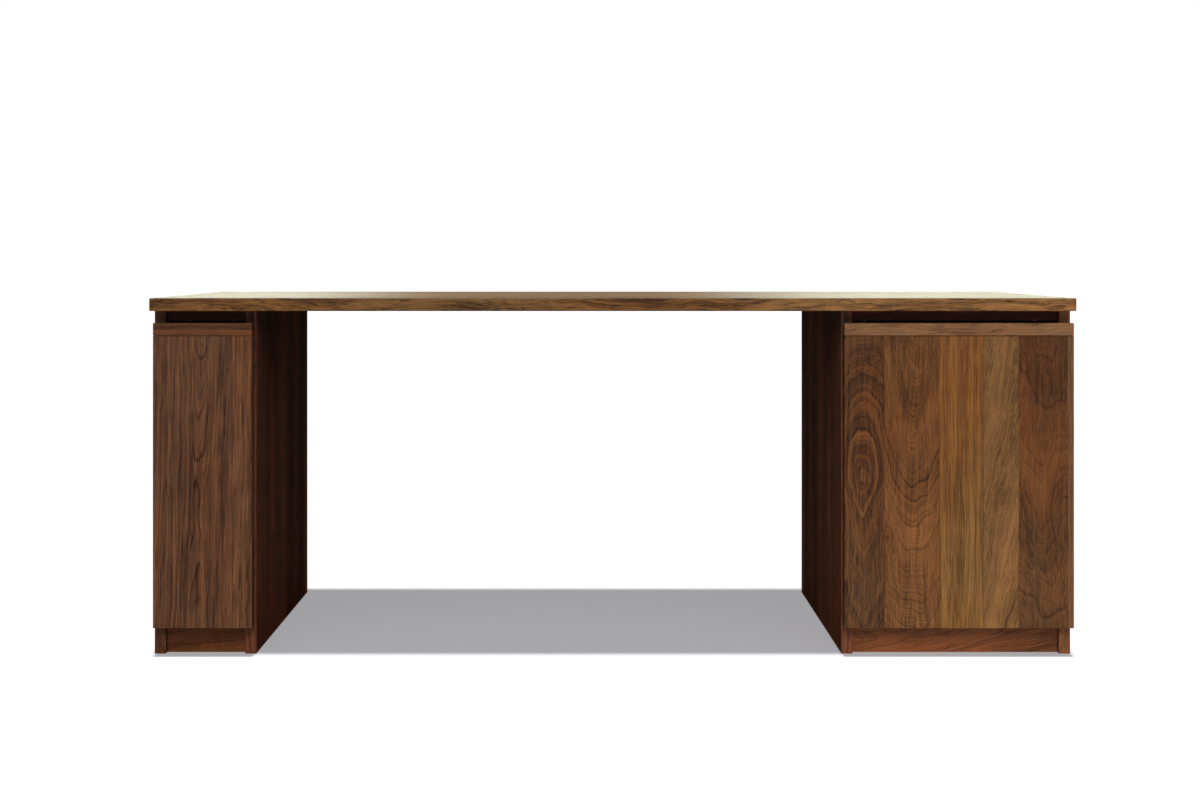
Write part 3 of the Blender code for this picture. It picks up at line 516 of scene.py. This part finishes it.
def head(shape, radius, height, recess, washer):
    """One screw head that looks up from its seat: its washer, its crown and its cross recess."""
    seat = 0.0
    if washer:
        ring = bmesh.ops.create_circle(shape, cap_ends=True, radius=washer, segments=head_facets)["verts"]
        plate = lift(shape, ring[0].link_faces[0], 0.8 * washer_thickness, 1.0)
        lift(shape, plate, 0.2 * washer_thickness, 0.97)
        seat = washer_thickness
    ring = bmesh.ops.create_circle(shape, cap_ends=True, radius=radius, segments=head_facets)["verts"]
    bmesh.ops.translate(shape, vec=(0.0, 0.0, seat), verts=ring)
    crown = lift(shape, ring[0].link_faces[0], 0.45 * height, 1.0)
    crown = lift(shape, crown, 0.35 * height, 0.93)
    crown = lift(shape, crown, 0.20 * height, 0.80)
    loops = list(crown.edges)
    bmesh.ops.delete(shape, geom=[crown], context="FACES_ONLY")
    grid = bmesh.ops.create_grid(shape, x_segments=3, y_segments=3, size=0.68 * radius)["verts"]
    bmesh.ops.translate(shape, vec=(0.0, 0.0, seat + height), verts=grid)
    squares = {square for corner in grid for square in corner.link_faces}
    cross = [s for s in squares if min(abs(v) for v in s.calc_center_median().xy) < 0.1 * radius]
    bmesh.ops.delete(shape, geom=list(squares - set(cross)), context="FACES")
    loops += {side for square in cross for side in square.edges if side.is_boundary}
    bmesh.ops.bridge_loops(shape, edges=loops)
    rims = {side for square in cross for side in square.edges}
    made = bmesh.ops.extrude_face_region(shape, geom=[*cross, *rims])["geom"]
    bottom = [piece for piece in made if isinstance(piece, bmesh.types.BMVert)]
    bmesh.ops.translate(shape, vec=(0.0, 0.0, -recess), verts=bottom)
    bmesh.ops.scale(shape, vec=(0.72, 0.72, 1.0), verts=bottom)
    # The recess bottoms take the dark second material: painted shade.
    for piece in made:
        if isinstance(piece, bmesh.types.BMFace):
            piece.material_index = 1


def screws(name, body, facing, places, radius, height, recess, washer=0.0, made_of=None):
    """Like screws whose heads look one way, each driven home to another turn."""
    metal_used, slot = made_of or (zinc, "zinc_plated_steel")
    shape = bmesh.new()
    outwards = Vector(facing).to_track_quat("Z", "Y").to_matrix().to_4x4()
    for number, place in enumerate(places):
        before = len(shape.verts)
        head(shape, radius, height, recess, washer)
        driven = Matrix.Translation(place) @ outwards @ Matrix.Rotation(0.6 + 2.4 * number, 4, "Z")
        bmesh.ops.transform(shape, matrix=driven, verts=list(shape.verts)[before:])
    bmesh.ops.recalc_face_normals(shape, faces=shape.faces)
    mesh = bpy.data.meshes.new(name)
    shape.to_mesh(mesh)
    shape.free()
    mesh.materials.append(metal_used)
    mesh.materials.append(painted_recess_shade)
    piece = bpy.data.objects.new(name, mesh)
    bpy.context.scene.collection.objects.link(piece)
    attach(piece, body)


for cabinet, first, last, across in (
    ("left", "outer", "knee", (-0.04, 0.04)),
    ("right", "knee", "outer", (-0.15, 0.0, 0.15)),
):
    inner_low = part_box(f"{cabinet}_{first}_side")[1].x
    inner_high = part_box(f"{cabinet}_{last}_side")[0].x
    places = []
    for end in ("front", "rear"):
        low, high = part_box(f"{cabinet}_{end}_stretcher")
        for x in (inner_low + hold_down_inset, inner_high - hold_down_inset):
            places.append((x, (low.y + high.y) / 2, low.z))
    screws(f"{cabinet}_hold_down_screws", "desk", (0, 0, -1), places, 0.0042, 0.0025, 0.0016, 0.0072)
    low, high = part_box(f"{cabinet}_back_panel")
    heights = (low.z + back_panel_screw_inset, high.z - back_panel_screw_inset)
    places = [((low.x + high.x) / 2 + x, high.y, z) for z in heights for x in across]
    screws(f"{cabinet}_back_panel_screws", "desk", (0, 1, 0), places, 0.0035, 0.0018, 0.0012)

for side in sides:
    low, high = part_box(f"batten_{side}")
    along = (low.y + batten_screw_inset, 0.0, high.y - batten_screw_inset)
    places = [((low.x + high.x) / 2, y, low.z) for y in along]
    screws(f"batten_screws_{side}", "desk", (0, 0, -1), places, 0.0058, 0.0024, 0.0015)
    inwards = 1 if side == "left" else -1
    for member, body in (("cabinet", "desk"), ("box", "pullout")):
        places = []
        for level in levels:
            low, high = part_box(f"runner_{level}_{side}_{member}_member")
            web = low.x if (side == "left") == (member == "cabinet") else high.x
            for y in (low.y + runner_screw_inset, (low.y + high.y) / 2, high.y - runner_screw_inset):
                places.append((web, y, (low.z + high.z) / 2))
        facing = (inwards if member == "cabinet" else -inwards, 0, 0)
        screws(f"runner_screws_{side}_{member}", body, facing, places, 0.0021, 0.0010, 0.0007)

low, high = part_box("pullout_inner_front")
aside = (-front_screw_spacing, front_screw_spacing)
places = [((low.x + high.x) / 2 + x, high.y, z) for x in aside for z in front_screw_heights]
screws("pullout_front_screws", "pullout", (0, 1, 0), places, 0.0040, 0.0024, 0.0015)

# Pull-out front
# A panel of two walnut boards with upright grain, greyer than the door: a wide one with a fine
# heart figure down its middle, and a warmer strip. Its grip is redder, with lying grain.

front_low, front_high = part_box("pullout_panel")
front_middle = (front_low.x + front_high.x) / 2
pullout_boards = [
    Board(to, front_middle - 0.006, 0.0409, 0.0022, light, dark, centre=0.318, swell=-0.085,
          slant=0.02, wobble=0.5, lines=0.9, streaks=1.8, bands=0.5)
    for to, light, dark in (
        (-0.7415, (110, 71, 46), (41, 24, 16)),
        (1.0000, (115, 75, 49), (46, 27, 17)),
    )
]
finish(
    walnut(
        "oiled_walnut_pullout_front", "XYZ", front_low.y, pullout_boards, 21, joint=front_high.z
    ),
    "pullout_panel",
)
pullout_grip_boards = [
    Board(0.6385, 0.70, 0.02, 0.0030, (112, 66, 36), (62, 32, 16), lean=0.02, wobble=0.5),
    Board(1.0, 0.70, 0.02, 0.0030, (98, 62, 38), (50, 29, 16), lean=0.02, vein=0.0600, wobble=0.5),
]
finish(
    walnut("oiled_walnut_pullout_grip", "ZYX", front_low.y, pullout_grip_boards, 22),
    "pullout_grip",
)

# Door
# Six upright walnut boards of unlike widths and tones, glued edge to edge: an arched one with a
# closed heart, one with nested points, a straight golden one, a curly olive one, a red one and a
# sliver. The grip along its top is a paler board with lying grain.

door_boards = [
    Board(0.5296, 0.4900, 0.000, 0.0018, (108, 66, 34), (36, 21, 15), centre=0.354, swell=0.212,
          vein=0.0284, wobble=1.15, lines=1.2, streaks=1.0, bands=0.1, arches=0.60, fade=1.0),
    Board(0.6372, 0.5937, 0.035, 0.0021, (125, 78, 40), (56, 31, 16), lean=-0.22, centre=0.60,
          knot_x=0.5439, knot_z=0.238, wobble=0.9, lines=1.1, streaks=0.9, bands=0.9, fade=1.0),
    Board(0.7224, 0.8200, 0.040, 0.0040, (136, 90, 43), (74, 44, 21), lean=0.02, centre=0.30,
          vein=0.1406, wobble=0.5, lines=0.9, streaks=1.5, bands=0.6, fade=0.6),
    Board(0.7919, 0.6400, 0.030, 0.0040, (130, 91, 50), (66, 42, 25), lean=0.04, centre=0.20,
          knot_x=0.7392, knot_z=0.3239, slant=0.20, wobble=1.8, lines=0.6, streaks=1.1, bands=1.0,
          fade=0.55),
    Board(0.8875, 0.8430, 0.045, 0.0045, (110, 66, 34), (54, 30, 15), lean=-0.20, centre=0.62,
          wobble=1.4, lines=0.5, streaks=0.5, bands=1.1, fade=1.0),
    Board(1.0000, 1.0000, 0.030, 0.0040, (126, 88, 58), (84, 52, 34), wobble=0.4),
]
door_low, door_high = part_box("right_door_panel")
# The door's boards turn paler and cooler towards the foot: painted light off the floor.
finish(
    walnut(
        "oiled_walnut_door", "XYZ", door_low.y, door_boards, 31,
        fade=(0.10, 0.50, (1.20, 1.40, 1.65, 1.0)), joint=door_high.z,
    ),
    "right_door_panel",
)
door_grip_board = [
    Board(1.0, 0.66, 0.03, 0.0050, (130, 93, 62), (68, 45, 30), lean=0.05, centre=0.6, wobble=1.6,
          streaks=1.4, bands=1.8)
]
finish(walnut("oiled_walnut_door_grip", "ZYX", door_low.y, door_grip_board, 32), "right_door_grip")

# Hinges
# Two solid brass butt hinges with loose pins, brushed along their leaves. One leaf is screwed to
# the front edge of the cabinet's outer side, and the other to the back of the door.

brass = metal("brushed_brass", (196, 158, 92), 0.3, "XYZ")
finish(
    brass,
    *(
        f"hinge_{end}_{piece}"
        for end in ("bottom", "top") for piece in ("cabinet_leaf", "door_leaf", "pin")
    ),
)
pin_low, pin_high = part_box("hinge_top_pin")
half_leaf_gap = 0.0002
leaf_screw_spacing, leaf_outer_screw, leaf_middle_screw = 0.022, 0.0105, 0.0055
leaf_screws = (
    (-leaf_screw_spacing, leaf_outer_screw), (0.0, leaf_middle_screw), (leaf_screw_spacing, leaf_outer_screw)
)
for leaf, body, facing in (("cabinet_leaf", "desk", -1), ("door_leaf", "door", 1)):
    places = []
    for end in ("bottom", "top"):
        low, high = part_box(f"hinge_{end}_{leaf}")
        for along, aside in leaf_screws:
            face = (pin_low.y + pin_high.y) / 2 - facing * half_leaf_gap
            places.append((low.x + aside, face, (low.z + high.z) / 2 + along))
    screws(
        f"hinge_screws_{leaf}", body, (0, facing, 0), places, 0.0033, 0.0001, 0.00008,
        made_of=(brass, "hinge_brass"),
    )

# Catch, strike plate and bumpers
# The catch is a black moulded case round a magnet between two steel poles. The strike plate is
# zinc plated, and the bumpers are clear soft domes.


def moulded(name, colour, rough, grain, depth):
    """Moulded plastic or rubber with a fine sparked texture."""
    made = bpy.data.materials.new(name)
    made.use_nodes = True
    tree = made.node_tree
    shader = tree.nodes["Principled BSDF"]
    place = put(tree, "TexCoord").node.outputs["Object"]
    speck, _ = stretched(tree, place, (grain, grain, grain), (0.0, 0.0, 0.0), 3.0)
    tone = sum_of(tree, "ADD", speck, 0.5, clamp=True)
    lighter = tuple(v * 1.25 for v in colour)
    tree.links.new(mixed(tree, tone, shade(*colour), shade(*lighter)), shader.inputs["Base Color"])
    tree.links.new(sum_of(tree, "MULTIPLY_ADD", speck, 0.2, rough), shader.inputs["Roughness"])
    bump = put(tree, "Bump", 0.3, depth)
    tree.links.new(speck, bump.node.inputs["Height"])
    tree.links.new(bump, shader.inputs["Normal"])
    return made


finish(moulded("black_catch_plastic", (30, 30, 31), 0.5, 1500.0, 0.0001), "magnetic_catch")
finish(zinc, "strike_plate")
finish(
    moulded("milky_bumper_rubber", (188, 188, 180), 0.35, 700.0, 0.00005),
    "door_bumper_bottom", "door_bumper_top", "pullout_bumper_left", "pullout_bumper_right",
)
catch_screw_inset, catch_screw_spacing, strike_screw_spacing = 0.0065, 0.018, 0.0168
low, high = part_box("magnetic_catch")
heights = [(low.z + high.z) / 2 + z for z in (-catch_screw_spacing, catch_screw_spacing)]
places = [(high.x, high.y - catch_screw_inset, z) for z in heights]
screws("catch_screws", "desk", (1, 0, 0), places, 0.0026, 0.0012, 0.0009)
low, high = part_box("strike_plate")
heights = [(low.z + high.z) / 2 + z for z in (-strike_screw_spacing, strike_screw_spacing)]
places = [((low.x + high.x) / 2, high.y, z) for z in heights]
screws("strike_plate_screws", "door", (0, 1, 0), places, 0.0022, 0.0001, 0.00008)

# Pull-out box
# Pale birch boards, lacquered matt. Each tray is a thin board with a side board along each edge,
# and both trays stand between an inner front and a rear board.

birch_light, birch_dark = (214, 184, 142), (180, 144, 102)
for seed, node, order in (
    (41, "pullout_inner_front", "XYZ"),
    (42, "pullout_rear_board", "XYZ"),
    (43, "pullout_lower_left_side", "ZXY"),
    (44, "pullout_lower_right_side", "ZXY"),
    (45, "pullout_upper_left_side", "ZXY"),
    (46, "pullout_upper_right_side", "ZXY"),
    (47, "pullout_lower_tray", "XZY"),
    (48, "pullout_upper_tray", "XZY"),
):
    birch_board = [
        Board(1.0, 0.9, 0.05, 0.004, birch_light, birch_dark, wobble=0.6, lines=0.5, streaks=0.7)
    ]
    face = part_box(node)[0]["XYZ".index(order[1])]
    finish(walnut("matt_birch_" + node, order, face, birch_board, seed, gloss=-0.08), node)

# Studio
# A white floor and a white surround. A lamp overhead throws the desk's own shadow under it, a large
# one lights the fronts, with light off the floor under them, and weak ones reach into the knee
# space, the ends and the back. Two windows behind, with a dim wall between, give the top its sheen.

camera_place = (-0.0537, -3.304, 0.7775)
camera = bpy.data.cameras.new("camera")
camera.lens = 46.45
camera.sensor_width = 36.0
camera.shift_x = 0.0124
camera.shift_y = -0.1181
camera_object = bpy.data.objects.new("camera", camera)
camera_object.location = camera_place
camera_object.rotation_euler = (math.radians(90), 0.0, 0.0)
bpy.context.scene.collection.objects.link(camera_object)
bpy.context.scene.camera = camera_object

floor_mesh = bpy.data.meshes.new("studio_floor")
shape = bmesh.new()
bmesh.ops.create_grid(shape, x_segments=1, y_segments=1, size=40.0)
shape.to_mesh(floor_mesh)
shape.free()
floor = bpy.data.objects.new("studio_floor", floor_mesh)
bpy.context.scene.collection.objects.link(floor)

paper = bpy.data.materials.new("white_floor")
paper.use_nodes = True
tree = paper.node_tree
tree.nodes.remove(tree.nodes["Principled BSDF"])
ray = put(tree, "LightPath").node.outputs
white = sum_of(tree, "MULTIPLY_ADD", ray["Is Camera Ray"], 0.793, 0.007)
white = sum_of(tree, "MULTIPLY_ADD", ray["Is Diffuse Ray"], 0.25, white)
glow = sum_of(tree, "MULTIPLY", ray["Is Camera Ray"], 0.31)
glow = put(tree, "Emission", (0.99, 1.0, 1.05, 1.0), glow)
surface = put(tree, "AddShader", put(tree, "BsdfDiffuse", white), glow)
tree.links.new(surface, tree.nodes["Material Output"].inputs["Surface"])
floor_mesh.materials.append(paper)

world = bpy.data.worlds.new("studio")
world.use_nodes = True
bpy.context.scene.world = world
tree = world.node_tree
ray = put(tree, "LightPath").node.outputs
way = put(tree, "SeparateXYZ", put(tree, "TexCoord").node.outputs["Generated"]).node.outputs
gloss = step_up(tree, way["Y"], 0.2, -0.6, 0.008, 0.2)
gloss = sum_of(tree, "ADD", gloss, step_up(tree, way["Z"], 0.2, 0.7, 0.0, 0.3))
ambient = step_up(tree, way["Y"], -0.95, 0.1, 0.34, 0.01)
strength = put(tree, "Mix", ray["Is Glossy Ray"], ambient, gloss, data_type="FLOAT")
strength = put(tree, "Mix", ray["Is Camera Ray"], strength, 1.0, data_type="FLOAT")
tree.links.new(strength, tree.nodes["Background"].inputs["Strength"])
tree.nodes["Background"].inputs["Color"].default_value = (1.0, 1.0, 1.0, 1.0)

desk_only = bpy.data.collections.new("lit_desk")
for piece in bpy.context.scene.objects:
    if piece.type == "MESH" and piece is not floor:
        desk_only.objects.link(piece)
floor_only = bpy.data.collections.new("lit_floor")
floor_only.objects.link(floor)

# Each lamp: its strength, the way its light goes, its width in degrees, whether a surface may
# shine with it, and what it lights.
for name, strength, towards, width, shines, lights in (
    ("overhead_lamp_on_floor", 0.85, (0.0, 0.036, -0.675), 3.0, False, floor_only),
    ("overhead_lamp_on_desk", 0.15, (0.0, 0.10, -0.675), 20.0, True, desk_only),
    ("front_lamp", 0.75, (0.0, 1.0, -1.0), 40.0, False, desk_only),
    ("light_off_the_floor", 0.37, (0.0, 1.0, 0.70), 34.0, False, desk_only),
    ("left_knee_lamp", 0.10, (1.0, 0.27, -0.15), 12.0, False, desk_only),
    ("right_knee_lamp", 0.13, (-1.0, 0.27, -0.15), 12.0, False, desk_only),
    ("left_lamp", 0.45, (1.0, -0.02, -0.2), 4.0, False, desk_only),
    ("right_lamp", 0.45, (-1.0, -0.02, -0.2), 4.0, False, desk_only),
    ("rear_lamp", 0.50, (0.0, -1.0, -0.2), 5.0, False, desk_only),
):
    lamp = bpy.data.lights.new(name, "SUN")
    lamp.energy = strength * math.pi
    lamp.angle = math.radians(width)
    lamp_object = bpy.data.objects.new(name, lamp)
    lamp_object.rotation_mode = "QUATERNION"
    lamp_object.rotation_quaternion = Vector(towards).to_track_quat("-Z", "Y")
    lamp_object.visible_glossy = shines
    lamp_object.light_linking.receiver_collection = lights
    lamp_object.light_linking.blocker_collection = desk_only
    bpy.context.scene.collection.objects.link(lamp_object)

# The white surround, as cloths hung round the desk. Only the metal pieces are lit by it.
cloth_width, cloth_height = 12.0, 6.0
metal_only = bpy.data.collections.new("lit_metal")
for piece in desk_only.objects:
    if piece.material_slots[0].material in (zinc, brass):
        metal_only.objects.link(piece)
upright = ("surround_front", "surround_back", "surround_left", "surround_right")
for name, place in (
    ("surround_front", (0.0, -6.0, 3.0)),
    ("surround_back", (0.0, 6.0, 3.0)),
    ("surround_left", (-6.0, 0.0, 3.0)),
    ("surround_right", (6.0, 0.0, 3.0)),
    ("surround_above", (0.0, 0.0, 6.0)),
    ("surround_floor", (0.0, 0.0, 0.002)),
):
    cloth = bpy.data.lights.new(name, "AREA")
    cloth.shape = "RECTANGLE"
    cloth.size = cloth_width
    cloth.size_y = cloth_height if name in upright else cloth_width
    cloth.energy = math.pi * cloth.size * cloth.size_y
    cloth_object = bpy.data.objects.new(name, cloth)
    cloth_object.location = place
    inwards = Vector((-place[0], -place[1], cloth_height / 2 - place[2]))
    cloth_object.rotation_mode = "QUATERNION"
    cloth_object.rotation_quaternion = inwards.to_track_quat("-Z", "Y")
    cloth_object.visible_camera = False
    cloth_object.light_linking.receiver_collection = metal_only
    bpy.context.scene.collection.objects.link(cloth_object)

sheen_only = bpy.data.collections.new("lit_desktop")
sheen_only.objects.link(frame["nodes"]["desktop"])
window = bpy.data.lights.new("window_behind", "AREA")
window.shape = "RECTANGLE"
window.size, window.size_y = 6.8, 1.6
window_strength = 3.3
window.energy = window_strength * math.pi * window.size * window.size_y
window.use_nodes = True
tree = window.node_tree
width = put(tree, "SeparateXYZ", put(tree, "NewGeometry").node.outputs["Parametric"]).node.outputs["X"]
daylight = put(tree, "ValToRGB", width)
stops = daylight.node.color_ramp.elements
glass, wall = (0.84, 0.90, 0.70, 1.0), (0.16, 0.12, 0.07, 1.0)
daylight.node.color_ramp.interpolation = "EASE"
for place, colour in ((0.30, glass), (0.46, wall), (0.60, wall), (0.74, glass)):
    stops.new(place).color = colour
stops[0].color = glass
stops[-1].color = glass
tree.links.new(daylight, tree.nodes["Emission"].inputs["Color"])
window_object = bpy.data.objects.new("window_behind", window)
window_object.location = (0.0, 4.0, 1.5)
window_object.rotation_mode = "QUATERNION"
window_object.rotation_quaternion = Vector((0.0, -1.0, 0.0)).to_track_quat("-Z", "Y")
window_object.visible_camera = False
window_object.light_linking.receiver_collection = sheen_only
bpy.context.scene.collection.objects.link(window_object)

bpy.context.scene.view_settings.view_transform = "Standard"
